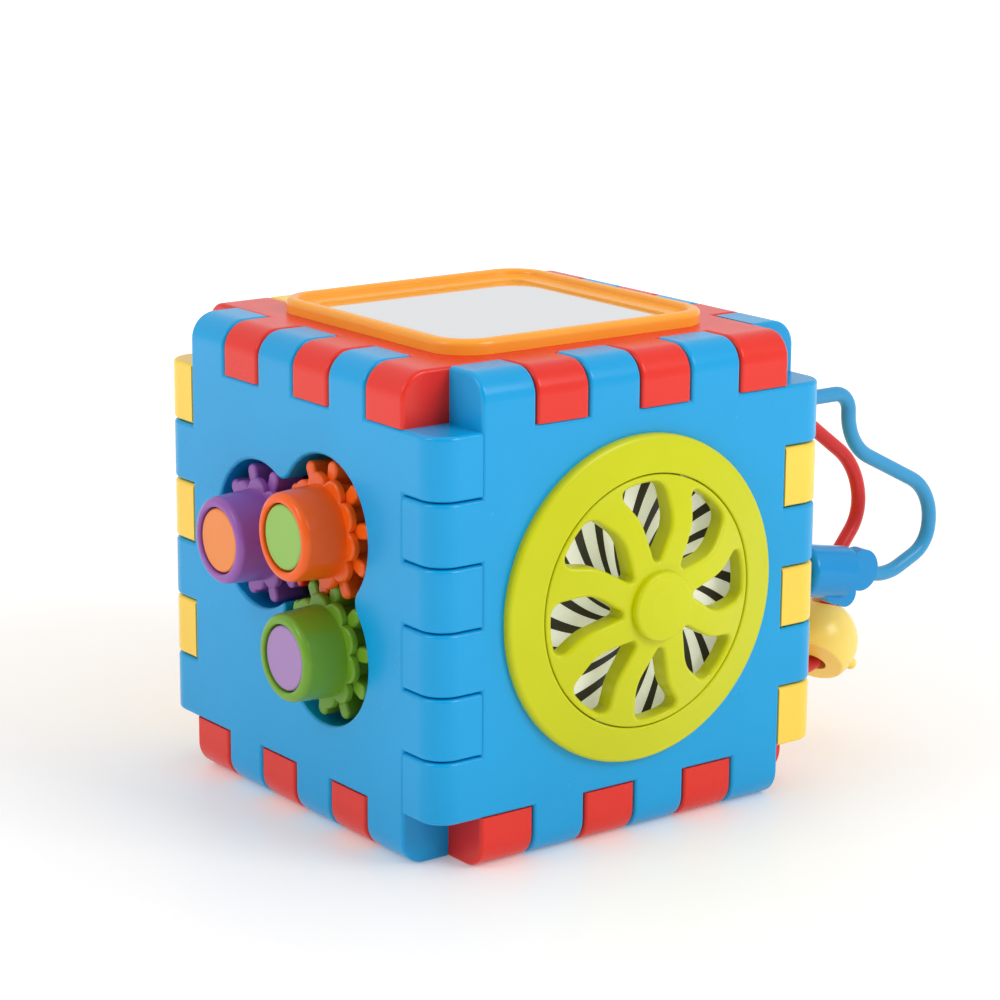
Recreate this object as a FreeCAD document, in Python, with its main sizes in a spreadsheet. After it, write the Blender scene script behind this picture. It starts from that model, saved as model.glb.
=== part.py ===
"""Baby activity cube: six interlocking toothed panels around a hollow middle.

Row frame in millimetres: origin at the middle of the underside, +Z up.
The spinning wheel is on the front (-Y), three meshing gears on the left (-X),
the bead maze on the right (+X) and the mirror on top (+Z).

Every face has a local frame of its own: X to the right and Y up as seen from
outside, Z out of the face, with the face's outer surface at Z = 0.
"""
import FreeCAD, Part
import math
import os
import re
import Sketcher

V = FreeCAD.Vector

SIZES = {
    # the cube and its interlocking edges
    "edge": 216,             # outer size of the cube
    "panel_depth": 24,       # depth of a panel and of its teeth
    "pitch": 28,             # width of one tooth slot, six to an edge
    "edge_round": 12,        # rounding of the cube's edges
    "lip_round": 1.8,        # small rounding round teeth and notches
    "slot_gap": 0.28,        # taken off each side of a tooth
    "skin": 3,               # wall thickness of the mouldings
    "face_margin": 60,       # half size of the relief on the plain faces
    # the gear train
    "gear_pitch": 54,        # centre distance of two meshing gears
    "gear_right": 24,        # orange and green gears, right of the middle
    "orange_up": 28.5,       # orange gear above the middle
    "purple_up": 16,         # purple gear above the middle
    "gear_recess": 33.5,     # radius of each lobe of the recess
    "cup_wall": 6,           # wall of the recess
    "cup_depth": 20,         # depth of the recess
    "neck_round": 8,         # rounding where two lobes meet
    "tooth_tip": 31.5,       # tip radius of the gears
    "tooth_width": 7,        # width of one finger-like tooth
    "tooth_top": 2,          # front of the teeth, inside the face
    "tooth_foot": 16,        # rear of the teeth, inside the face
    "petal_ring": 18.9,      # radius on which the petals' centres lie
    "petal_size": 6.9,       # radius of one petal
    "petal_thick": 3.2,
    "petal_lift": 0.3,       # gap between the teeth's fronts and the petals
    "knob_base": 20.8,       # radius of the knob where it leaves the petals
    "knob_rim": 19.4,        # radius of the knob at its front
    "knob_high": 21.5,       # front of the knob, out of the face
    "cap_radius": 14.5,
    "cap_thick": 4,
    "cap_sunk": 0.9,         # cap below the knob's rim
    "tooth_root": 22.1,      # radius between the teeth
    "gear_seat": 13,         # where a gear meets its washer
    "peg_radius": 2,         # red peg between the gears
    "post_radius": 4,        # axle posts of gears and wheel
    "running": 0.06,         # radial clearance of a turning fit
    # the spinning wheel
    "bezel_radius": 73,
    "bezel_high": 7.4,       # inner edge of the bezel, out of the face
    "wheel_radius": 56,
    "wheel_hole": 67,        # opening in the panel
    "hub_radius": 15.4,
    "hub_high": 18.8,
    "hub_seat": 14.9,        # flat on the wheel, under the hub cap
    "wheel_seat": 6,         # where the wheel meets its washer
    "washer_radius": 8.5,
    "disc_radius": 62,
    "disc_floor": 8.5,       # rear of the spiral disc, inside the face
    # the mirror
    "mirror_outer": 72.7,    # half size of the frame
    "mirror_sight": 58,      # half size of the visible glass
    "mirror_level": 2.3,     # front of the glass, out of the face
    "mirror_high": 6.5,
    "mirror_corner": 20,
    # the bead maze
    "wire_radius": 3.5,
    "header_band": 24,       # height of the blue strip above the maze panel
    "ferrule_radius": 7,
    "ferrule_high": 3,
    "barrel_radius": 12.5,   # blue bead
    "bore_radius": 4.6,      # hole through the blue bead
    "bead_radius": 20.6,     # yellow bead
    "channel_radius": 5.9,   # curved hole through the yellow bead
    # screws
    "screw_radius": 1.5,
    "screw_head": 3,
}

SHEET = "Sizes"
doc = FreeCAD.newDocument("activity_cube")
sheet = doc.addObject("Spreadsheet::Sheet", SHEET)
for row, (word, value) in enumerate(SIZES.items(), start=1):
    sheet.set(f"A{row}", word)
    sheet.set(f"B{row}", str(value))
    sheet.setAlias(f"B{row}", word)
doc.recompute()

parts = {}


def bound(text):
    """Turn a formula written in the sheet's words into an expression."""
    def point_at_cell(match):
        word = match.group()
        return f"{SHEET}.{word}" if word in SIZES else word
    return re.sub(r"[a-z_]+", point_at_cell, text)


def cell(word):
    return float(sheet.get(word))


# ---------------------------------------------------------------- placement

FACES = {
    "left": ((V(0, -1, 0), V(0, 0, 1), V(-1, 0, 0)),
             ("-edge / 2 - ({out})", "-({right})", "edge / 2 + ({up})")),
    "front": ((V(1, 0, 0), V(0, 0, 1), V(0, -1, 0)),
              ("({right})", "-edge / 2 - ({out})", "edge / 2 + ({up})")),
    "right": ((V(0, 1, 0), V(0, 0, 1), V(1, 0, 0)),
              ("edge / 2 + ({out})", "({right})", "edge / 2 + ({up})")),
    "back": ((V(-1, 0, 0), V(0, 0, 1), V(0, 1, 0)),
             ("-({right})", "edge / 2 + ({out})", "edge / 2 + ({up})")),
    "top": ((V(1, 0, 0), V(0, 1, 0), V(0, 0, 1)),
            ("({right})", "({up})", "edge + ({out})")),
    "bottom": ((V(1, 0, 0), V(0, -1, 0), V(0, 0, -1)),
               ("({right})", "-({up})", "-({out})")),
}


def place(piece, face, right="0", up="0", out="0"):
    """Set a piece on a face, its own origin at the given place on that face."""
    axes, formulas = FACES[face]
    piece.Placement = FreeCAD.Placement(V(), FreeCAD.Rotation(*axes, "XYZ"))
    for axis, formula in zip("xyz", formulas):
        text = formula.format(right=right, up=up, out=out)
        piece.setExpression(f"Placement.Base.{axis}", bound(text))


def keep(piece, node):
    """Give a finished piece the name that its node and its file have."""
    piece.Label = node
    parts[node] = piece
    return piece


# ------------------------------------------------------- sketches, features

def new_body(name):
    return doc.addObject("PartDesign::Body", name + "_body")


def origin_item(body, role):
    return next(f for f in body.Origin.OriginFeatures if f.Role == role)


def new_sketch(body, plane="XY_Plane", level="0"):
    sketch = body.newObject("Sketcher::SketchObject", "sketch")
    sketch.AttachmentSupport = [(origin_item(body, plane), "")]
    sketch.MapMode = "FlatFace"
    sketch.setExpression("AttachmentOffset.Base.z", bound(level))
    return sketch


def add_outline(sketch, corners):
    """A closed polygon whose corners follow formulas in the sheet's words."""
    count = len(corners)
    first = sketch.GeometryCount
    ring = [V(math.cos(2 * math.pi * i / count), math.sin(2 * math.pi * i / count), 0)
            for i in range(count)]
    for i in range(count):
        sketch.addGeometry(Part.LineSegment(ring[i] * 10, ring[(i + 1) % count] * 10), False)
    for i in range(count):
        sketch.addConstraint(Sketcher.Constraint(
            "Coincident", first + i, 2, first + (i + 1) % count, 1))
    for i, corner in enumerate(corners):
        for kind, formula in zip(("DistanceX", "DistanceY"), corner):
            index = sketch.addConstraint(Sketcher.Constraint(kind, -1, 1, first + i, 1, 1.0))
            sketch.setExpression(f"Constraints[{index}]", bound(formula))


def add_circle(sketch, radius, right="0", up="0"):
    """A circle whose radius and centre follow formulas in the sheet's words."""
    index = sketch.addGeometry(Part.Circle(V(1, 1, 0), V(0, 0, 1), 5), False)
    limit = sketch.addConstraint(Sketcher.Constraint("Radius", index, 5.0))
    sketch.setExpression(f"Constraints[{limit}]", bound(radius))
    for kind, formula in (("DistanceX", right), ("DistanceY", up)):
        limit = sketch.addConstraint(Sketcher.Constraint(kind, -1, 1, index, 3, 1.0))
        sketch.setExpression(f"Constraints[{limit}]", bound(formula))


def rectangle(x_low, y_low, x_high, y_high):
    return [(x_low, y_low), (x_high, y_low), (x_high, y_high), (x_low, y_high)]


def square(half):
    return rectangle(f"-({half})", f"-({half})", half, half)


def extrude(body, sketch, length, kind="Pad", down=False, through=False):
    """Pad or pocket a sketch. A pad grows up and a pocket cuts down unless down
    turns the pad round, or, for a pocket, turns it to cut upwards."""
    feature = body.newObject("PartDesign::" + kind, kind.lower())
    feature.Profile = sketch
    feature.Reversed = down
    if through:
        feature.Type = 1
        feature.Midplane = True
    else:
        feature.setExpression("Length", bound(length))
    doc.recompute()
    return feature


def turn(body, corners, kind="Revolution"):
    """Turn a profile of (radius, height) corners round the body's Z axis."""
    sketch = new_sketch(body, "XZ_Plane")
    add_outline(sketch, corners)
    feature = body.newObject("PartDesign::" + kind, kind.lower())
    feature.Profile = sketch
    feature.ReferenceAxis = (sketch, ["V_Axis"])
    feature.Angle = 360
    doc.recompute()
    return feature


def repeat_round(body, feature, count):
    pattern = body.newObject("PartDesign::PolarPattern", "round_pattern")
    pattern.Originals = [feature]
    pattern.Axis = (origin_item(body, "Z_Axis"), [""])
    pattern.Angle = 360
    pattern.Occurrences = count
    body.Tip = pattern
    doc.recompute()
    return pattern


def repeat_along_edges(body, feature, sketch):
    """Repeat a cut at every second slot of an edge, on all four edges."""
    both = body.newObject("PartDesign::MultiTransform", "edge_pattern")
    both.Originals = [feature]
    along = body.newObject("PartDesign::LinearPattern", "along_edge")
    along.Direction = (sketch, ["H_Axis"])
    along.Occurrences = 3
    along.setExpression("Length", bound("4 * pitch"))
    around = body.newObject("PartDesign::PolarPattern", "four_edges")
    around.Axis = (origin_item(body, "Z_Axis"), [""])
    around.Angle = 360
    around.Occurrences = 4
    both.Transformations = [along, around]
    body.Tip = both
    doc.recompute()
    return both


def round_off(body, wanted, radius):
    """Fillet the edges of the body's last feature that wanted(edge) accepts."""
    base = body.Tip
    names = [f"Edge{i}" for i, edge in enumerate(base.Shape.Edges, start=1) if wanted(edge)]
    fillet = body.newObject("PartDesign::Fillet", "fillet")
    fillet.Base = (base, names)
    fillet.setExpression("Radius", bound(radius))
    doc.recompute()
    return fillet


def level_edge(edge, height):
    box = edge.BoundBox
    return abs(box.ZMin - height) < 0.01 and abs(box.ZMax - height) < 0.01


def round_edge_at(radius, height):
    """A test for full circles about the Z axis of one radius at one height."""
    def wanted(edge):
        box = edge.BoundBox
        return level_edge(edge, height) and abs(box.XMax - radius) < 0.02 \
            and abs(box.XMin + radius) < 0.02
    return wanted


def sharp_convex(shape, edge):
    """True on an outside corner, false on a smooth seam or an inside corner."""
    faces = shape.ancestorsOfType(edge, Part.Face)
    if len(faces) < 2:
        return False
    middle = edge.valueAt((edge.FirstParameter + edge.LastParameter) / 2)
    normals = []
    for face in faces[:2]:
        normals.append(face.normalAt(*face.Surface.parameter(middle)))
    if normals[0].getAngle(normals[1]) < 0.1:
        return False
    return not shape.isInside(middle + (normals[0] - normals[1]) * 0.05, 1e-6, True)


def rounded(corners, closed=True):
    """Straight runs joined by tangent arcs, from (x, y, radius) corners."""
    points = [V(x, y, 0) for x, y, radius in corners]
    count = len(points)
    pieces = []
    ends = []
    for i, point in enumerate(points):
        radius = corners[i][2]
        if radius == 0:
            ends.append((point, None, point))
            continue
        back = (points[i - 1] - point).normalize()
        ahead = (points[(i + 1) % count] - point).normalize()
        half = back.getAngle(ahead) / 2
        reach = radius / math.tan(half)
        middle = (back + ahead).normalize() * (radius / math.sin(half) - radius)
        ends.append((point + back * reach, point + middle, point + ahead * reach))
    last = count if closed else count - 1
    for i, (start, middle, end) in enumerate(ends):
        if middle is not None:
            pieces.append(Part.Arc(start, middle, end))
        if i < last:
            following = ends[(i + 1) % count][0]
            if end.distanceToPoint(following) > 1e-6:
                pieces.append(Part.LineSegment(end, following))
    return pieces


def rounded_square(half, radius):
    return [(x * half, y * half, radius) for x, y in ((-1, -1), (1, -1), (1, 1), (-1, 1))]


def add_rounded(sketch, corners):
    sketch.addGeometry(rounded(corners), False)


# -------------------------------------------------------------------- panels

def toothed_panel(name):
    """A tray moulding: teeth at every second slot, rounded edges, soft lips.

    Going clockwise round each edge the slots run tooth, notch, tooth, notch,
    so that any two panels interlock and the cube's eight corners stay open.
    """
    body = new_body(name)
    sketch = new_sketch(body)
    add_outline(sketch, square("edge / 2"))
    block = extrude(body, sketch, "panel_depth", down=True)
    body.Tip = block
    round_off(body, lambda edge: level_edge(edge, 0), "edge_round")

    notch = new_sketch(body)
    add_outline(notch, rectangle(
        "-2 * pitch - slot_gap", "edge / 2 - panel_depth", "-pitch + slot_gap", "edge / 2 + 1"))
    cut = extrude(body, notch, "", "Pocket", through=True)
    repeat_along_edges(body, cut, notch)

    corner = new_sketch(body)
    add_outline(corner, rectangle(
        "edge / 2 - panel_depth", "edge / 2 - panel_depth", "edge / 2 + 1", "edge / 2 + 1"))
    cut = extrude(body, corner, "", "Pocket", through=True)
    repeat_round(body, cut, 4)

    solid = body.Tip.Shape
    rear = -cell("panel_depth")
    round_off(body, lambda edge: edge.BoundBox.ZMax > rear + 0.01 and sharp_convex(solid, edge),
              "lip_round")

    tray = new_sketch(body, level="-panel_depth")
    add_outline(tray, square("edge / 2 - panel_depth - skin"))
    extrude(body, tray, "panel_depth - skin", "Pocket", down=True)

    hollow = new_sketch(body, level="-panel_depth")
    add_outline(hollow, rectangle(
        "-3 * pitch + slot_gap + skin", "edge / 2 - panel_depth - skin - 1",
        "-2 * pitch - slot_gap - skin", "edge / 2 - 0.75 * edge_round"))
    cut = extrude(body, hollow, "panel_depth - skin", "Pocket", down=True)
    repeat_along_edges(body, cut, hollow)
    return body


GEAR_SPOTS = {
    "orange": ("gear_right", "orange_up"),
    "green": ("gear_right", "orange_up - gear_pitch"),
    "purple": ("gear_right - sqrt(gear_pitch ^ 2 - (orange_up - purple_up) ^ 2)", "purple_up"),
}


def gear_centres():
    """The gears' centres on the left face, from the sheet's values."""
    right = cell("gear_right")
    drop = cell("orange_up") - cell("purple_up")
    across = math.sqrt(cell("gear_pitch") ** 2 - drop ** 2)
    return {"orange": V(right, cell("orange_up"), 0),
            "green": V(right, cell("orange_up") - cell("gear_pitch"), 0),
            "purple": V(right - across, cell("purple_up"), 0)}


def blended_lobes(centres, radius, blends):
    """Three round lobes, joined by arcs that touch each pair from outside.

    The centres run counter-clockwise, and blends[i] is the radius of the arc
    between lobe i and the next one.
    """
    count = len(centres)
    joints = []
    for i, blend in enumerate(blends):
        here = centres[i]
        following = centres[(i + 1) % count]
        half = (following - here) * 0.5
        outward = V(half.y, -half.x, 0).normalize()
        reach = math.sqrt((radius + blend) ** 2 - half.Length ** 2)
        middle = here + half + outward * reach
        touches = [c + (middle - c) * (radius / (radius + blend)) for c in (here, following)]
        joints.append((touches[0], middle - outward * blend, touches[1]))
    hub = (centres[0] + centres[1] + centres[2]) * (1 / 3)
    pieces = []
    for i, (start, tip, end) in enumerate(joints):
        pieces.append(Part.Arc(start, tip, end))
        centre = centres[(i + 1) % count]
        outermost = centre + (centre - hub).normalize() * radius
        pieces.append(Part.Arc(end, outermost, joints[(i + 1) % count][0]))
    return pieces


def add_boss(body, right, up, floor):
    """A screw boss with a blind pilot hole, standing on the skin inside."""
    post = new_sketch(body, level=f"-({floor})")
    add_circle(post, "2 * screw_head", right, up)
    extrude(body, post, f"{floor} - skin / 2")
    pilot = new_sketch(body, level=f"-({floor})")
    add_circle(pilot, "screw_radius", right, up)
    extrude(body, pilot, f"{floor} - 2 * skin", "Pocket", down=True)


def mouth_edge(reach):
    """A test for front edges of an opening in the middle of a face."""
    def wanted(edge):
        box = edge.BoundBox
        far = max(abs(box.XMin), abs(box.XMax), abs(box.YMin), abs(box.YMax))
        return level_edge(edge, 0) and far < reach
    return wanted


GEAR_BOSSES = [("-66", "-64"), ("-66", "66"), ("70", "68"), ("70", "-66")]
ROUND_BOSSES = [("52", "52"), ("-52", "52"), ("-52", "-52"), ("52", "-52")]


def gear_panel():
    """The left panel, with a three-lobed recess round the gears."""
    body = toothed_panel("gear_panel")
    for right, up in GEAR_SPOTS.values():
        wall = new_sketch(body, level="-cup_depth")
        add_circle(wall, "gear_recess + cup_wall", right, up)
        extrude(body, wall, "cup_depth - skin / 2")
    centres = gear_centres()
    recess = new_sketch(body)
    order = [centres["purple"], centres["green"], centres["orange"]]
    neck = cell("neck_round")
    outline = blended_lobes(order, cell("gear_recess"), [0.2 * neck, neck, neck])
    recess.addGeometry(outline, False)
    extrude(body, recess, "", "Pocket", through=True)
    round_off(body, mouth_edge(0.35 * cell("edge")), "skin / 2")
    for right, up in GEAR_BOSSES:
        add_boss(body, right, up, "cup_depth")
    place(body, "left")
    return keep(body, "gear_panel")


def wheel_panel():
    """The front panel, with a round opening behind the wheel."""
    body = toothed_panel("wheel_panel")
    wall = new_sketch(body, level="-4 * skin")
    add_circle(wall, "wheel_hole + skin")
    extrude(body, wall, "3.5 * skin")
    hole = new_sketch(body)
    add_circle(hole, "wheel_hole")
    extrude(body, hole, "", "Pocket", through=True)
    for right, up in ROUND_BOSSES:
        add_boss(body, right, up, "4 * skin")
    place(body, "front")
    return keep(body, "wheel_panel")


def maze_panel():
    """The right panel: its top edge is cut back to seat the blue header."""
    body = toothed_panel("maze_panel")
    seat = new_sketch(body)
    add_outline(seat, rectangle("-edge / 2 - 1", "edge / 2 - panel_depth - header_band",
                                "edge / 2 + 1", "edge / 2 + 1"))
    extrude(body, seat, "", "Pocket", through=True)
    sill = new_sketch(body, level="-panel_depth")
    low = "edge / 2 - panel_depth - header_band"
    add_outline(sill, rectangle("-edge / 2 + panel_depth", low + " - skin",
                                "edge / 2 - panel_depth", low))
    extrude(body, sill, "panel_depth - skin / 2")
    for right in HEADER_SCREWS:
        add_crossing(body, right, low + " - 2 * skin", "3 * skin")
    for right, up in (wire_foot("red", 0), wire_foot("red", -1), wire_foot("blue", -1)):
        add_socket(body, right, up)
    place(body, "right")
    return keep(body, "maze_panel")


def maze_header():
    """The blue strip with the top edge's teeth, above the maze panel."""
    body = toothed_panel("maze_header")
    rest = new_sketch(body)
    add_outline(rest, rectangle("-edge / 2 - 1", "-edge / 2 - 1", "edge / 2 + 1",
                                "edge / 2 - panel_depth - header_band"))
    extrude(body, rest, "", "Pocket", through=True)
    sill = new_sketch(body, level="-panel_depth")
    low = "edge / 2 - panel_depth - header_band"
    add_outline(sill, rectangle("-edge / 2 + panel_depth", low, "edge / 2 - panel_depth",
                                low + " + skin"))
    extrude(body, sill, "panel_depth - skin / 2")
    add_socket(body, *wire_foot("blue", 0))
    for right in HEADER_SCREWS:
        add_crossing(body, right, low + " - skin", "3 * skin")
    place(body, "right")
    return keep(body, "maze_header")


def add_socket(body, right, up):
    """A deep round socket that holds one end of a maze wire."""
    post = new_sketch(body, level="-panel_depth")
    add_circle(post, "wire_radius + skin", right, up)
    extrude(body, post, "panel_depth - skin / 2")
    bore = new_sketch(body)
    add_circle(bore, "wire_radius", right, up)
    extrude(body, bore, "", "Pocket", through=True)


def plain_panel(node, face):
    """A panel whose face carries only a shallow rounded-square groove."""
    body = toothed_panel(node)
    groove = new_sketch(body)
    half = cell("face_margin")
    corner = cell("mirror_corner")
    width = cell("skin")
    add_rounded(groove, rounded_square(half, corner))
    add_rounded(groove, rounded_square(half - width, corner - width))
    extrude(body, groove, "skin / 3", "Pocket")
    place(body, face)
    return keep(body, node)


def mirror_panel():
    """The top panel, with a square window under the mirror."""
    body = toothed_panel("mirror_panel")
    wall = new_sketch(body, level="-3 * skin")
    half = cell("mirror_outer") - cell("skin")
    corner = cell("mirror_corner") - cell("skin")
    add_rounded(wall, rounded_square(half, corner))
    extrude(body, wall, "2.5 * skin")
    window = new_sketch(body)
    half -= cell("skin")
    corner -= cell("skin")
    add_rounded(window, rounded_square(half, corner))
    extrude(body, window, "", "Pocket", through=True)
    for right, up in MIRROR_BOSSES:
        add_boss(body, right, up, "3 * skin")
    place(body, "top")
    return keep(body, "mirror_panel")


def add_crossing(body, right, start, length):
    """A screw hole that runs up the face, halfway down the panel's depth."""
    hole = new_sketch(body, "XZ_Plane", level=f"-({start})")
    add_circle(hole, "screw_radius", right, "-panel_depth / 2")
    extrude(body, hole, length, "Pocket", down=False)


# ----------------------------------------------------------------- gear train

def gear(colour, follows=None):
    """One gear: finger-like teeth, petals in the gaps, and a tall knob."""
    body = new_body("gear_" + colour)
    bore = "post_radius + running"
    body_profile = [(bore, "-cup_depth + 0.3"), ("9", "-cup_depth + 0.3"), ("9", "-tooth_foot"),
                    ("tooth_root", "-tooth_foot"), ("tooth_root", "-tooth_top"),
                    (bore, "-tooth_top")]
    body.Tip = turn(body, body_profile)

    half = cell("tooth_width") / 2
    tip = cell("tooth_tip")
    tooth = new_sketch(body, level="-tooth_foot")
    add_rounded(tooth, [(tip / 2, -half, 0), (tip, -half, 0.97 * half),
                        (tip, half, 0.97 * half), (tip / 2, half, 0)])
    pad = extrude(body, tooth, "tooth_foot - tooth_top")
    repeat_round(body, pad, 10)
    front = -cell("tooth_top")
    root = cell("tooth_root")

    def tooth_front(edge):
        return level_edge(edge, front) and edge.BoundBox.Center.Length > root + 0.5
    round_off(body, tooth_front, "0.4 * tooth_width / 2")

    petal = new_sketch(body, level="petal_lift - tooth_top")
    add_circle(petal, "petal_size", "petal_ring * cos(18)", "petal_ring * sin(18)")
    pad = extrude(body, petal, "petal_thick")
    repeat_round(body, pad, 10)
    petal_front = cell("petal_thick") + cell("petal_lift") - cell("tooth_top")
    reach = cell("petal_ring") - 2

    def petal_rim(edge):
        return level_edge(edge, petal_front) and edge.BoundBox.Center.Length > reach
    round_off(body, petal_rim, "1.3")

    rim = "knob_high"
    floor = "knob_high - cap_thick - cap_sunk"
    turn(body, [(bore, "-tooth_top - 1"), ("knob_base", "-tooth_top - 1"), ("knob_base", "1"),
                ("knob_rim", rim), ("cap_radius + 0.6", rim), ("cap_radius + 0.6", floor),
                ("9.5", floor), ("9.5", "gear_seat"), (bore, "gear_seat")])
    high = cell("knob_high")
    round_off(body, round_edge_at(cell("knob_rim"), high), "3")
    round_off(body, round_edge_at(cell("cap_radius") + 0.6, high), "0.9")
    right, up = GEAR_SPOTS[colour]
    place(body, "left", right, up)
    turned = FreeCAD.Rotation(V(0, 0, 1), mesh_angle(colour, follows))
    body.Placement.Rotation = body.Placement.Rotation * turned
    return keep(body, "gear_" + colour)


DRIVER_ANGLE = 10


def mesh_angle(colour, follows):
    """Angle of a gear's first tooth: a follower's tooth meets a driver's gap."""
    if follows is None:
        return DRIVER_ANGLE
    centres = gear_centres()
    line = centres[colour] - centres[follows]
    direction = math.degrees(math.atan2(line.y, line.x))
    return 2 * direction + 180 + 18 - DRIVER_ANGLE


def gear_cap(colour, gear_colour):
    """The coloured disc that closes a knob and hides the screw."""
    body = new_body("cap_" + colour)
    low = "knob_high - cap_thick - cap_sunk"
    top = "knob_high - cap_sunk"
    body.Tip = turn(body, [("0", low), ("cap_radius", low), ("cap_radius", top), ("0", top)])
    high = cell("knob_high") - cell("cap_sunk")
    round_off(body, round_edge_at(cell("cap_radius"), high), "1.2")
    place(body, "left", *GEAR_SPOTS[gear_colour])
    return keep(body, "cap_" + colour)


def gear_carrier():
    """The back plate of the recess, which holds the three posts."""
    body = new_body("gear_carrier")
    plate = new_sketch(body, level="-cup_depth - skin")
    half = cell("edge") / 2 - cell("panel_depth") - 1.5 * cell("skin")
    add_rounded(plate, rounded_square(half, 10))
    for right, up in GEAR_SPOTS.values():
        add_circle(plate, "post_radius", right, up)
    for right, up in GEAR_BOSSES:
        add_circle(plate, "screw_radius + 0.3", right, up)
    body.Tip = extrude(body, plate, "skin")
    place(body, "left")
    return keep(body, "gear_carrier")


def clicker_post():
    """A short red peg in the free spot between the three gears."""
    body = new_body("clicker_post")
    peg = new_sketch(body, level="-cup_depth")
    add_circle(peg, "peg_radius", "1.2", "-0.2")
    body.Tip = extrude(body, peg, "cup_depth - tooth_top")
    top = -cell("tooth_top")
    round_off(body, lambda edge: level_edge(edge, top), "0.8 * peg_radius")
    place(body, "left")
    return keep(body, "clicker_post")


# ------------------------------------------------------ pins, washers, screws

def rod(radius, length, level="0"):
    """A plain cylinder along the local Z axis."""
    piece = doc.addObject("Part::Cylinder", "rod")
    piece.setExpression("Radius", bound(radius))
    piece.setExpression("Height", bound(length))
    piece.setExpression("Placement.Base.z", bound(level))
    return piece


def joined(pieces):
    fuse = doc.addObject("Part::MultiFuse", "joined")
    fuse.Shapes = pieces
    return fuse


def without(piece, tool):
    cut = doc.addObject("Part::Cut", "without")
    cut.Base = piece
    cut.Tool = tool
    return cut


def pivot_post(seat, foot):
    """A shouldered steel post with a screw hole in its free end."""
    shank = rod("post_radius", f"{seat} + 0.3 + {foot}", f"-({foot})")
    flange = rod("post_radius + skin", "0.7 * skin", f"-({foot}) - 0.7 * skin")
    hole = rod("screw_radius", "3 * skin", f"{seat} + 0.3 - 3 * skin")
    return without(joined([shank, flange]), hole)


def washer(seat):
    """The retaining washer on a post's end."""
    disc = rod("washer_radius", "1", f"{seat} + 0.3")
    hole = rod("screw_radius", "2", f"{seat}")
    return without(disc, hole)


def screw(head_foot, length, upward=False):
    """A pan-head screw. Its head stands on head_foot and its shank goes down,
    or with upward the head hangs below head_foot and the shank goes up."""
    if upward:
        head = rod("screw_head", "2", f"{head_foot} - 2")
        shank = rod("screw_radius", length, head_foot)
    else:
        head = rod("screw_head", "2", head_foot)
        shank = rod("screw_radius", length, f"{head_foot} - ({length})")
    return joined([head, shank])


def group(node, make, face, spots):
    """Identical pieces kept as one node, each a separate solid on its spot."""
    pieces = []
    for right, up in spots:
        piece = make()
        place(piece, face, right, up)
        pieces.append(piece)
    compound = doc.addObject("Part::Compound", node)
    compound.Links = pieces
    return keep(compound, node)


def single(node, piece, face, right="0", up="0"):
    place(piece, face, right, up)
    return keep(piece, node)


# ------------------------------------------------------------ spinning wheel

def wheel_bezel():
    """The lime ring that is fixed to the panel round the wheel."""
    body = new_body("wheel_bezel")
    inner = "wheel_radius + 0.5"
    sleeve = "wheel_hole - 0.3"
    body.Tip = turn(body, [
        (sleeve, "0"), ("bezel_radius", "0"), ("bezel_radius", "3.6"), (inner, "bezel_high"),
        (inner, "-2"), (sleeve + " - skin", "-2"), (sleeve + " - skin", "-4 * skin"),
        (sleeve, "-4 * skin")])
    round_off(body, round_edge_at(cell("bezel_radius"), 3.6), "2.4")
    round_off(body, round_edge_at(cell("wheel_radius") + 0.5, cell("bezel_high")), "0.8")
    place(body, "front")
    return keep(body, "wheel_bezel")


def spoked_wheel():
    """The lime wheel: a shallow dome with eight swirled openings."""
    body = new_body("spoked_wheel")
    outer = cell("wheel_radius")
    flat = cell("hub_radius") + 0.6
    top = cell("hub_seat")
    dome = new_sketch(body, "XZ_Plane")
    rim_high = cell("bezel_high") - 0.4
    upper = Part.Arc(V(outer, rim_high, 0), V(0.63 * outer, 12.4, 0), V(flat, top, 0))
    lower = Part.Arc(V(12, 5, 0), V(0.63 * outer, 3.4, 0), V(outer, -1, 0))
    dome.addGeometry([
        upper, Part.LineSegment(V(flat, top, 0), V(0, top, 0)),
        Part.LineSegment(V(0, top, 0), V(0, 5, 0)), Part.LineSegment(V(0, 5, 0), V(12, 5, 0)),
        lower, Part.LineSegment(V(outer, -1, 0), V(outer, rim_high, 0))], False)
    solid = body.newObject("PartDesign::Revolution", "dome")
    solid.Profile = dome
    solid.ReferenceAxis = (dome, ["V_Axis"])
    solid.Angle = 360
    doc.recompute()
    body.Tip = solid
    round_off(body, round_edge_at(outer, rim_high), "0.8")

    opening = new_sketch(body)
    inner = 0.3 * outer
    rim = 0.94 * outer
    add_rounded(opening, [
        (inner, 0.5, 2), (0.6 * outer, -12.5, 17), (rim - 1, -11.5, 6), (rim + 0.7, 1, 40),
        (rim - 1.5, 13.5, 3.2), (0.68 * outer, 4.6, 22)])
    cut = extrude(body, opening, "", "Pocket", through=True)
    repeat_round(body, cut, 8)
    hub = new_sketch(body, level="-4")
    add_circle(hub, "12.5")
    extrude(body, hub, "10")
    cavity = new_sketch(body, level="wheel_seat")
    add_circle(cavity, "9")
    extrude(body, cavity, "10", "Pocket", down=True)
    bore = new_sketch(body)
    add_circle(bore, "post_radius + running")
    extrude(body, bore, "", "Pocket", through=True)
    middle = 0.2 * outer

    def opening_lip(edge):
        box = edge.BoundBox
        centre = V((box.XMin + box.XMax) / 2, (box.YMin + box.YMax) / 2, 0)
        on_front = box.ZMin > 5.5 and box.ZMax < top
        return on_front and centre.Length > middle
    round_off(body, opening_lip, "1.8")
    place(body, "front")
    body.Placement.Rotation = body.Placement.Rotation * FreeCAD.Rotation(V(0, 0, 1), 5)
    return keep(body, "spoked_wheel")


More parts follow.
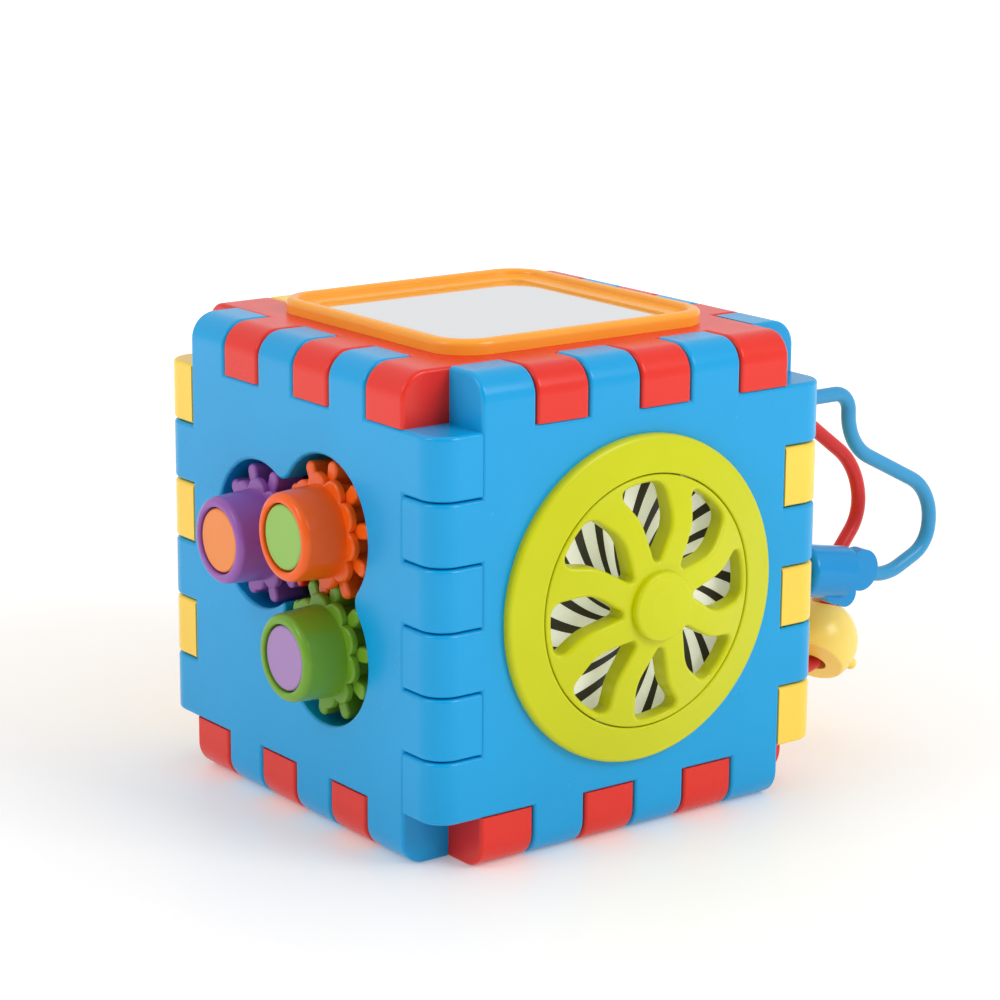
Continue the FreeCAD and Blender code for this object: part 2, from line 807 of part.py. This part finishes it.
def wheel_cap():
    """The round hub cap over the wheel's screw."""
    body = new_body("wheel_cap")
    body.Tip = turn(body, [("0", "wheel_seat + 3.6"), ("8.9", "wheel_seat + 3.6"),
                           ("8.9", "hub_seat"), ("hub_radius", "hub_seat"),
                           ("hub_radius", "hub_high - 0.6"), ("0.5 * hub_radius", "hub_high"),
                           ("0", "hub_high")])
    round_off(body, round_edge_at(cell("hub_radius"), cell("hub_high") - 0.6), "1.6")
    place(body, "front")
    return keep(body, "wheel_cap")


def spiral_disc():
    """The white disc behind the wheel that carries the printed swirl."""
    body = new_body("spiral_disc")
    body.Tip = turn(body, [("post_radius + 0.3", "-disc_floor"), ("disc_radius", "-disc_floor"),
                           ("disc_radius", "-disc_floor + skin / 2"),
                           ("post_radius + 0.3", "-disc_floor + skin / 2")])
    place(body, "front")
    return keep(body, "spiral_disc")


def wheel_housing():
    """The dish behind the wheel: it carries the disc and holds the axle."""
    body = new_body("wheel_housing")
    edge = "edge / 2 - panel_depth - 1.5 * skin"
    body.Tip = turn(body, [
        ("post_radius", "-22"), ("9", "-22"), ("9", "-5 * skin"), (edge, "-5 * skin"),
        (edge, "-4 * skin"), ("disc_radius", "-4 * skin"), ("disc_radius", "-disc_floor"),
        ("post_radius", "-disc_floor")])
    for right, up in ROUND_BOSSES:
        hole = new_sketch(body)
        add_circle(hole, "screw_radius + 0.3", right, up)
        extrude(body, hole, "", "Pocket", through=True)
    place(body, "front")
    return keep(body, "wheel_housing")


# -------------------------------------------------------------------- mirror

def square_plate(node, half, radius, thick, level, holes=()):
    body = new_body(node)
    plate = new_sketch(body, level=level)
    add_rounded(plate, rounded_square(half, radius))
    for right, up in holes:
        add_circle(plate, "screw_radius + 0.3", right, up)
    body.Tip = extrude(body, plate, thick)
    place(body, "top")
    return keep(body, node)


MIRROR_BOSSES = [("74.6", "0"), ("0", "74.6"), ("-74.6", "0"), ("0", "-74.6")]


def mirror_frame():
    """The orange frame: one section swept round a rounded square."""
    body = new_body("mirror_frame")
    outer = cell("mirror_outer")
    sight = cell("mirror_sight")
    skirt = outer - 2 * cell("skin") - 0.3
    high = cell("mirror_high")
    level = cell("mirror_level")
    path = new_sketch(body)
    middle = outer - 8
    add_rounded(path, rounded_square(middle, cell("mirror_corner") - 8))
    section = new_sketch(body, "XZ_Plane")
    add_rounded(section, [
        (outer, 0, 0), (outer, high, 2.8), (outer - 5.8, high, 2), (outer - 6.2, level + 1.6, 0.8),
        (sight, level + 0.9, 0.3), (sight, level, 0), (skirt - 2.2, level, 0),
        (skirt - 2.2, -9, 0), (skirt, -9, 0), (skirt, 0, 0)])
    sweep = body.newObject("PartDesign::AdditivePipe", "sweep")
    sweep.Profile = section
    sweep.Spine = path
    doc.recompute()
    body.Tip = sweep
    place(body, "top")
    return keep(body, "mirror_frame")


# ----------------------------------------------------------------- bead maze

# Each wire lies in a plane that stands on the face and may lean back. Its
# corners are (reach out of the face, height up the plane, bend radius).
WIRES = {
    "blue": {"stand": -74, "lean": 0, "route": [
        (-26, 175, 0), (44.8, 175, 9), (45.6, 149.2, 25), (102.3, 120, 24), (98.8, 93.3, 16),
        (74, 82.4, 26), (10, 94.5, 20), (-26, 94.5, 0)]},
    "red": {"stand": -55, "lean": 5.7, "route": [
        (-26, 153, 0), (10, 153, 24), (42, 161, 31), (80.8, 130.3, 31), (83, 106, 24),
        (56.5, 77, 12), (67.4, 36, 20.5), (-26, 36, 0)]},
}
HEADER_SCREWS = ["-30", "30"]


def wire_foot(name, end):
    """Where one end of a wire meets the right face, as that face's formulas."""
    wire = WIRES[name]
    lean = math.radians(wire["lean"])
    height = wire["route"][end][1]
    right = wire["stand"] + height * math.sin(lean)
    up = height * math.cos(lean) - cell("edge") / 2
    return f"{right:.3f}", f"{up:.3f}"


def wire_plane(name):
    wire = WIRES[name]
    turn_up = FreeCAD.Rotation(V(1, 0, 0), 90 - wire["lean"])
    return FreeCAD.Placement(V(cell("edge") / 2, wire["stand"], 0), turn_up)


def maze_wire(name):
    """A coated wire of straight runs and tangent bends."""
    route = WIRES[name]["route"]
    path = Part.Wire([piece.toShape() for piece in rounded(route, closed=False)])
    start = V(*route[0][:2], 0)
    circle = Part.Wire(Part.Circle(start, V(1, 0, 0), cell("wire_radius")).toShape())
    wire = doc.addObject("Part::Feature", name + "_wire")
    wire.Shape = path.makePipeShell([circle], True, False)
    wire.Placement = wire_plane(name)
    return keep(wire, name + "_wire")


def collar():
    return without(rod("ferrule_radius", "ferrule_high"), rod("wire_radius", "2 * ferrule_high", "-1"))


def end_nut():
    """A push-on ring behind the socket, where the wire comes through."""
    return without(rod("ferrule_radius", "4", "-panel_depth - 4"),
                   rod("wire_radius", "6", "-panel_depth - 5"))


def blue_bead():
    """A barrel with two round lobes, threaded on the blue wire's lower run."""
    body = new_body("blue_bead")
    barrel = "barrel_radius"
    body.Tip = turn(body, [("0", "-20"), (barrel, "-20"), (barrel, "11"), ("0", "11")])
    round_off(body, round_edge_at(cell(barrel), 11), "3")
    round_off(body, round_edge_at(cell(barrel), -20), "3")
    slope = new_sketch(body, "XZ_Plane")
    high = barrel + " + 1"
    add_outline(slope, [(high, "11"), (f"-({high})", "4"), (f"-({high})", "12"), (high, "12")])
    extrude(body, slope, "", "Pocket", through=True)
    for radius, across, along in (("10", "2.5", "15.5"), ("6.3", "-9.2", "7.6"),
                                  ("8", "-6.5", "1.5")):
        lobe = new_sketch(body, "XZ_Plane", level="-bore_radius - skin / 2")
        add_circle(lobe, radius, across, along)
        extrude(body, lobe, "7.2")
    bore = new_sketch(body)
    add_circle(bore, "bore_radius")
    extrude(body, bore, "", "Pocket", through=True)
    route = WIRES["blue"]["route"]
    inner = V(route[6][0], 0, route[6][1])
    outer = V(route[5][0], 0, route[5][1])
    run = (outer - inner).normalize()
    rise = V(-run.z, 0, run.x)
    middle = inner + run * 26.5
    base = V(cell("edge") / 2 + middle.x, WIRES["blue"]["stand"], middle.z)
    body.Placement = FreeCAD.Placement(base, FreeCAD.Rotation(rise, V(0, -1, 0), run, "XYZ"))
    return keep(body, "blue_bead")


def yellow_bead():
    """A ball with one flat side on the red wire's lower bend. Its channel
    follows the bend, and the ball hangs a little behind the wire."""
    ball = doc.addObject("Part::Sphere", "ball")
    ball.setExpression("Radius", bound("bead_radius"))
    slab = doc.addObject("Part::Box", "slab")
    slab.Length = slab.Width = slab.Height = 60
    slab.Placement = FreeCAD.Placement(V(-30, -30, -60 - BEAD_FLAT), FreeCAD.Rotation())
    cut = without(ball, slab)
    solid = softened(cut, lambda edge: level_edge(edge, -BEAD_FLAT), 1.5)
    facing = FreeCAD.Rotation(V(0, 0, -1), V(*BEAD_FACING))
    plane = wire_plane("red")
    spot = plane.multVec(V(*BEAD_SPOT))
    solid.Placement = FreeCAD.Placement(spot, facing)
    ear = doc.addObject("Part::Sphere", "ear")
    ear.Radius = 3
    ear.Placement.Base = spot + V(*BEAD_EAR)
    channel = doc.addObject("Part::Torus", "channel")
    channel.Radius1 = WIRES["red"]["route"][6][2]
    channel.setExpression("Radius2", bound("channel_radius"))
    channel.Placement = plane * FreeCAD.Placement(bend_centre("red", 6), FreeCAD.Rotation())
    return keep(without(joined([solid, ear]), channel), "yellow_bead")


BEAD_FLAT = 11.3                         # from the ball's middle to its flat side
BEAD_FACING = (-0.666, -0.292, -0.684)   # which way the flat side looks
BEAD_SPOT = (54.3, 47, -4)               # the ball's middle, in the red wire's plane
BEAD_EAR = (11.6, -12.8, -10.7)             # a small round ear beside the flat side


def softened(piece, wanted, radius):
    """Fillet the edges of a finished shape that wanted(edge) accepts."""
    doc.recompute()
    fillet = doc.addObject("Part::Fillet", "softened")
    fillet.Base = piece
    fillet.Edges = [(i, radius, radius)
                    for i, edge in enumerate(piece.Shape.Edges, start=1) if wanted(edge)]
    doc.recompute()
    return fillet


def bend_centre(name, index):
    """Centre of the bend at one corner of a wire, in the wire's plane."""
    route = WIRES[name]["route"]
    before, corner, after = (V(*route[i][:2], 0) for i in (index - 1, index, index + 1))
    back = (before - corner).normalize()
    ahead = (after - corner).normalize()
    half = back.getAngle(ahead) / 2
    return corner + (back + ahead).normalize() * (route[index][2] / math.sin(half))


# ------------------------------------------------------------------ the cube

gear_panel()
gear_carrier()
gear("orange")
gear("green", follows="orange")
gear("purple", follows="orange")
gear_cap("green", "orange")
gear_cap("purple", "green")
gear_cap("orange", "purple")
clicker_post()
spots = list(GEAR_SPOTS.values())
group("gear_posts", lambda: pivot_post("gear_seat", "cup_depth + skin"), "left", spots)
group("gear_washers", lambda: washer("gear_seat"), "left", spots)
group("gear_post_screws", lambda: screw("gear_seat + 1.3", "7"), "left", spots)
group("gear_carrier_screws", lambda: screw("-cup_depth - skin", "12", upward=True),
      "left", GEAR_BOSSES)

wheel_panel()
wheel_housing()
spiral_disc()
wheel_bezel()
spoked_wheel()
wheel_cap()
single("wheel_axle", pivot_post("wheel_seat", "22"), "front")
single("wheel_washer", washer("wheel_seat"), "front")
single("wheel_axle_screw", screw("wheel_seat + 1.3", "7"), "front")
group("wheel_housing_screws", lambda: screw("-5 * skin", "9", upward=True), "front", ROUND_BOSSES)

mirror_panel()
mirror_frame()
square_plate("mirror_glass", 63, 11, "2", "mirror_level - 2")
square_plate("mirror_backer", 79.5, 12, "skin", "-4 * skin", MIRROR_BOSSES)
group("mirror_screws", lambda: screw("-4 * skin", "2 * skin", upward=True),
      "top", MIRROR_BOSSES)

plain_panel("back_panel", "back")
plain_panel("base_panel", "bottom")

feet = [wire_foot("red", 0), wire_foot("red", -1), wire_foot("blue", 0), wire_foot("blue", -1)]
maze_panel()
maze_header()
maze_wire("blue")
maze_wire("red")
group("header_screws", lambda: screw("-panel_depth - header_band + skin", "2 * skin + 1"),
      "top", [("edge / 2 - panel_depth / 2", up) for up in HEADER_SCREWS])
group("wire_collars", collar, "right", feet)
group("wire_end_nuts", end_nut, "right", feet)
blue_bead()
yellow_bead()

doc.recompute()
for item in doc.Objects:
    if "Invalid" in item.State or "Error" in item.State:
        raise RuntimeError(f"{item.Label} failed: {item.State}")
for node, piece in parts.items():
    if piece.Shape.isNull() or not piece.Shape.isValid():
        raise RuntimeError(f"{node} has no valid solid")

os.makedirs("parts", exist_ok=True)
for node, piece in parts.items():
    piece.Shape.exportStep(f"parts/{node}.step")
print(len(parts), "nodes")
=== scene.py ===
"""Baby activity cube: materials, small details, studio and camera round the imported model.

Row frame in metres: origin at the middle of the underside, +Z up, the spinning wheel
on the front (-Y), the gears on the left (-X), the bead wires on the right (+X).
"""
import math

import bpy
from mathutils import Matrix, Vector

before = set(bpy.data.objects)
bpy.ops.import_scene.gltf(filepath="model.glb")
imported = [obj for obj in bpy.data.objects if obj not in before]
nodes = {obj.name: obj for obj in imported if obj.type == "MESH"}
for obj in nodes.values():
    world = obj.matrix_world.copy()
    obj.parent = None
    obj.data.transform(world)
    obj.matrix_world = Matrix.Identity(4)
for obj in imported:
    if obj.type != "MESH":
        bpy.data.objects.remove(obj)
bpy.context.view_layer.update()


# ------------------------------------------------------------------ helpers

def linear(code):
    """An sRGB hex code as the linear colour Blender's sockets take."""
    values = []
    for start in (0, 2, 4):
        value = int(code[start:start + 2], 16) / 255
        low = value <= 0.04045
        values.append(value / 12.92 if low else ((value + 0.055) / 1.055) ** 2.4)
    return (*values, 1)


class Graph:
    """A material's node graph, with short calls for the nodes used here."""

    def __init__(self, name):
        self.material = bpy.data.materials.new(name)
        self.material.use_nodes = True
        self.tree = self.material.node_tree
        self.tree.nodes.clear()
        self.output = self.tree.nodes.new("ShaderNodeOutputMaterial")
        self.shader = self.add("ShaderNodeBsdfPrincipled")
        self.link(self.shader.outputs["BSDF"], self.output.inputs["Surface"])

    def add(self, kind, **inputs):
        node = self.tree.nodes.new(kind)
        for key, value in inputs.items():
            self.feed(node.inputs[key.replace("_", " ")], value)
        return node

    def link(self, source, target):
        self.tree.links.new(source, target)

    def feed(self, socket, value):
        """Link an output to a socket, or set the socket's own value."""
        if isinstance(value, bpy.types.NodeSocket):
            self.link(value, socket)
        else:
            socket.default_value = value

    def math(self, operation, *values):
        """A math node fed with outputs or plain numbers."""
        node = self.tree.nodes.new("ShaderNodeMath")
        node.operation = operation
        for socket, value in zip(node.inputs, values):
            self.feed(socket, value)
        return node.outputs[0]

    def place(self):
        """Object coordinates, which are the row frame in metres."""
        return self.add("ShaderNodeTexCoord").outputs["Object"]

    def noise(self, scale, detail=2.0, roughness=0.5):
        node = self.add("ShaderNodeTexNoise", Scale=scale, Detail=detail, Roughness=roughness)
        self.link(self.place(), node.inputs["Vector"])
        return node.outputs["Fac"]

    def from_middle(self, across, up):
        """The distance that two offsets make together."""
        squares = [self.math("MULTIPLY", offset, offset) for offset in (across, up)]
        return self.math("SQRT", self.math("ADD", *squares))

    def ramp(self, value, *stops):
        """Map a value through (position, colour) stops."""
        node = self.tree.nodes.new("ShaderNodeValToRGB")
        self.link(value, node.inputs["Fac"])
        band = node.color_ramp
        while len(band.elements) < len(stops):
            band.elements.new(0.5)
        for element, (position, colour) in zip(band.elements, stops):
            element.position = position
            element.color = colour
        return node.outputs["Color"]

    def span(self, value, low, high):
        """Spread a value between 0 and 1 over a new range."""
        node = self.add("ShaderNodeMapRange", To_Min=low, To_Max=high)
        self.link(value, node.inputs["Value"])
        return node.outputs["Result"]

    def bump(self, height, strength, distance):
        """Raise the surface by a height that varies over distance, in metres."""
        node = self.add("ShaderNodeBump", Strength=strength, Distance=distance)
        self.link(height, node.inputs["Height"])
        self.link(node.outputs["Normal"], self.shader.inputs["Normal"])

    def set(self, **values):
        """Feed the shader's sockets by name."""
        for key, value in values.items():
            self.feed(self.shader.inputs[key.replace("_", " ")], value)


def shade(colour, factor):
    """A colour made lighter or darker."""
    return (*(min(1.0, channel * factor) for channel in colour[:3]), 1)


MOTTLE = 0.04                        # how far flow marks change the colour
SMOOTHER, ROUGHER = 0.05, 0.07       # how far the haze changes the roughness
UNDER_SKIN = 0.10                    # share of the light that scatters inside
SCATTER_DEPTH = 0.002
SHINE = 0.34
RIPPLE, RIPPLE_HEIGHT = 0.25, 0.00005


def plastic(name, code, gloss=0.24):
    """Injection-moulded plastic: a faint flow mottle, tiny dust-like changes of
    gloss, an orange-peel ripple, and a little light under the skin."""
    graph = Graph(name)
    colour = linear(code)
    flow = graph.noise(14, detail=3)
    tint = graph.ramp(flow, (0.3, shade(colour, 1 - MOTTLE)), (0.7, shade(colour, 1 + MOTTLE)))
    haze = graph.noise(60, detail=4, roughness=0.6)
    graph.set(Base_Color=tint,
              Roughness=graph.span(haze, gloss - SMOOTHER, gloss + ROUGHER))
    graph.shader.inputs["Subsurface Weight"].default_value = UNDER_SKIN
    graph.shader.inputs["Subsurface Radius"].default_value = (0.6, 0.6, 0.6)
    graph.shader.inputs["Subsurface Scale"].default_value = SCATTER_DEPTH
    graph.shader.inputs["Specular IOR Level"].default_value = SHINE
    graph.bump(graph.noise(420, detail=2), RIPPLE, RIPPLE_HEIGHT)
    return graph.material


# ---------------------------------------------------------------- materials

BLUE = plastic("blue_plastic", "009EDA")
RED = plastic("red_plastic", "E22C1E")
YELLOW = plastic("yellow_plastic", "FFD24E")
LIME = plastic("lime_plastic", "CACE00", gloss=0.3)
ORANGE = plastic("orange_plastic", "F06010")
GREEN = plastic("green_plastic", "6EA028")
PURPLE = plastic("purple_plastic", "9459AC")
FRAME_ORANGE = plastic("frame_orange_plastic", "FCA834", gloss=0.2)
PALE_GREEN = plastic("pale_green_plastic", "90BE58", gloss=0.4)
PALE_PURPLE = plastic("pale_purple_plastic", "A683B9", gloss=0.4)
PALE_ORANGE = plastic("pale_orange_plastic", "F08E48", gloss=0.4)
BEAD_BLUE = plastic("bead_blue_plastic", "008ED0")
BEAD_YELLOW = plastic("bead_yellow_plastic", "FFDC70")
# Black plastic, and painted shade on the gear carrier: the carrier is blue like the panels, made
# black to stand for the shade in the gear recess.
BLACK_AND_SHADE = plastic("black_plastic", "222226", gloss=0.5)
WIRE_BLUE = plastic("wire_blue_plastic", "3498CC", gloss=0.3)
WIRE_RED = plastic("wire_red_plastic", "D42C2A", gloss=0.3)


def steel():
    """Zinc-plated steel with a fine grain."""
    graph = Graph("steel")
    grain = graph.noise(900, detail=3)
    graph.set(Base_Color=linear("C8C8CC"), Metallic=1.0, Roughness=graph.span(grain, 0.25, 0.45))
    graph.bump(grain, 0.2, 0.00002)
    return graph.material


def mirror():
    """Mirror film on a plastic sheet, with slow waves and a faint haze."""
    graph = Graph("mirror")
    haze = graph.noise(30, detail=4)
    graph.set(Base_Color=linear("F6F8FA"), Metallic=1.0, Roughness=graph.span(haze, 0.03, 0.08))
    graph.bump(graph.noise(12), 0.15, 0.0004)
    return graph.material


SWIRL_CENTRE = (0.0095, 0.1035)
SWIRL_ARMS = 24
SWIRL_LEAN = 0.53
SWIRL_PHASE = 0.901
WHITE_EDGE, BLACK_EDGE = 0.645, 0.685   # a soft printed edge between the stripes


def swirl():
    """Black and white stripes that run out from a middle near the axle and lean over, with a
    faint glow that is painted light.
    """
    graph = Graph("swirl_print")
    split = graph.add("ShaderNodeSeparateXYZ")
    graph.link(graph.place(), split.inputs[0])
    across = graph.math("SUBTRACT", split.outputs["X"], SWIRL_CENTRE[0])
    up = graph.math("SUBTRACT", split.outputs["Z"], SWIRL_CENTRE[1])
    angle = graph.math("ARCTAN2", up, across)
    radius = graph.from_middle(across, up)
    lean = graph.math("MULTIPLY", graph.math("LOGARITHM", radius, math.e), SWIRL_LEAN)
    turns = graph.math("MULTIPLY", graph.math("ADD", angle, lean), SWIRL_ARMS)
    wave = graph.math("SINE", graph.math("ADD", turns, SWIRL_PHASE))
    ink = graph.ramp(graph.math("MULTIPLY_ADD", wave, 0.5, 0.5),
                     (WHITE_EDGE, linear("F4F6F1")), (BLACK_EDGE, linear("2E2B2A")))
    # The print also glows a little: painted light that lifts the shade in the disc's recess
    # behind the wheel.
    graph.set(Base_Color=ink, Roughness=0.45, Emission_Color=ink, Emission_Strength=0.3)
    return graph.material


STEEL = steel()
MIRROR = mirror()
SWIRL = swirl()

FINISH = {
    "gear_panel": BLUE, "wheel_panel": BLUE, "mirror_panel": RED, "base_panel": RED,
    # gear_carrier: black here is painted shade on the floor of the gear recess, not the
    # carrier's own blue.
    "back_panel": YELLOW, "maze_panel": YELLOW, "maze_header": BLUE, "gear_carrier": BLACK_AND_SHADE,
    "gear_orange": ORANGE, "gear_green": GREEN, "gear_purple": PURPLE, "cap_green": PALE_GREEN,
    "cap_purple": PALE_PURPLE, "cap_orange": PALE_ORANGE, "clicker_post": RED,
    "gear_posts": STEEL, "gear_washers": STEEL, "gear_post_screws": STEEL,
    "gear_carrier_screws": STEEL, "wheel_housing": BLACK_AND_SHADE, "spiral_disc": SWIRL,
    "wheel_bezel": LIME, "spoked_wheel": LIME, "wheel_cap": LIME, "wheel_axle": STEEL,
    "wheel_washer": STEEL, "wheel_axle_screw": STEEL, "wheel_housing_screws": STEEL,
    "mirror_frame": FRAME_ORANGE, "mirror_glass": MIRROR, "mirror_backer": BLACK_AND_SHADE,
    "mirror_screws": STEEL, "header_screws": STEEL, "blue_wire": WIRE_BLUE,
    "red_wire": WIRE_RED, "wire_collars": BLUE, "wire_end_nuts": STEEL,
    "blue_bead": BEAD_BLUE, "yellow_bead": BEAD_YELLOW,
}
for node, material in FINISH.items():
    nodes[node].data.materials.clear()
    nodes[node].data.materials.append(material)


# ------------------------------------------------------------------- studio

FLOOR_RADIUS = 7
NEAR, FAR = 0.15, 1.1            # where the floor starts and stops growing brighter
NEAR_GLOW, FAR_GLOW = 0.2, 0.62


def floor():
    """A pale sweep that grows brighter away from the object."""
    bpy.ops.mesh.primitive_circle_add(vertices=96, radius=FLOOR_RADIUS, fill_type="NGON")
    plane = bpy.context.object
    plane.name = "floor"
    graph = Graph("floor")
    split = graph.add("ShaderNodeSeparateXYZ")
    graph.link(graph.place(), split.inputs[0])
    reach = graph.from_middle(split.outputs["X"], split.outputs["Y"])
    glow = graph.add("ShaderNodeMapRange", From_Min=NEAR, From_Max=FAR,
                     To_Min=NEAR_GLOW, To_Max=FAR_GLOW)
    graph.link(reach, glow.inputs["Value"])
    graph.set(Base_Color=linear("E8E5E3"), Roughness=0.45, Emission_Color=(1, 1, 1, 1),
              Emission_Strength=glow.outputs["Result"])
    graph.shader.inputs["Specular IOR Level"].default_value = 0.25
    plane.data.materials.append(graph.material)


def area_light(name, spot, aim, side, power):
    """A square white light that faces its aim."""
    lamp = bpy.data.lights.new(name, "AREA")
    lamp.shape = "RECTANGLE"
    lamp.size = side
    lamp.size_y = side
    lamp.energy = power
    holder = bpy.data.objects.new(name, lamp)
    bpy.context.scene.collection.objects.link(holder)
    holder.location = spot
    direction = Vector(aim) - Vector(spot)
    holder.rotation_euler = direction.to_track_quat("-Z", "Y").to_euler()


AXLE_HEIGHT = 0.108
DIM_SIDE = (-0.58, -0.78, 0.24)      # towards the darker side of the room
DIM_STARTS, DIM_ENDS = 0.55, 0.95    # cosines of the angle to that side
BRIGHT_SKY, DIM_SKY = 0.81, 0.3


def sky():
    """Even white light, with a dimmer patch to the left of the front."""
    world = bpy.data.worlds.new("studio")
    bpy.context.scene.world = world
    world.use_nodes = True
    tree = world.node_tree
    backdrop = tree.nodes["Background"]
    place = tree.nodes.new("ShaderNodeTexCoord")
    towards = tree.nodes.new("ShaderNodeVectorMath")
    towards.operation = "DOT_PRODUCT"
    towards.inputs[1].default_value = Vector(DIM_SIDE).normalized()
    tree.links.new(place.outputs["Generated"], towards.inputs[0])
    dim = tree.nodes.new("ShaderNodeMapRange")
    dim.interpolation_type = "SMOOTHSTEP"
    limits = {"From Min": DIM_STARTS, "From Max": DIM_ENDS,
              "To Min": BRIGHT_SKY, "To Max": DIM_SKY}
    for socket, value in limits.items():
        dim.inputs[socket].default_value = value
    tree.links.new(towards.outputs["Value"], dim.inputs["Value"])
    tree.links.new(dim.outputs["Result"], backdrop.inputs["Strength"])
    backdrop.inputs["Color"].default_value = (1, 1, 1, 1)


def studio():
    """The sky, a key light from the front right and a weaker one from the left."""
    sky()
    middle = (0, 0, AXLE_HEIGHT)
    area_light("key", (0.5, -1.3, 1.1), middle, side=0.7, power=10.3)
    area_light("side", (-1.3, 0.1, 1.0), middle, side=0.6, power=4.7)
    bpy.context.scene.view_settings.view_transform = "Standard"


CAMERA_SPOT = (-0.8153, -1.0981, 0.467)
CAMERA_AIM = (0.00658, 0.00146, 0.12874)
CAMERA_ROLL = math.radians(0.356)
LENS_MM, SENSOR_MM = 110.35, 36
SIGHT_ENDS = 50


def camera():
    """Look down at the edge between the gears and the wheel."""
    lens = bpy.data.cameras.new("camera")
    lens.lens = LENS_MM
    lens.sensor_width = SENSOR_MM
    lens.clip_end = SIGHT_ENDS
    holder = bpy.data.objects.new("camera", lens)
    bpy.context.scene.collection.objects.link(holder)
    spot = Vector(CAMERA_SPOT)
    look = (Vector(CAMERA_AIM) - spot).to_track_quat("-Z", "Y").to_matrix().to_4x4()
    roll = Matrix.Rotation(CAMERA_ROLL, 4, "Z")
    holder.matrix_world = Matrix.Translation(spot) @ look @ roll
    bpy.context.scene.camera = holder


floor()
studio()
camera()
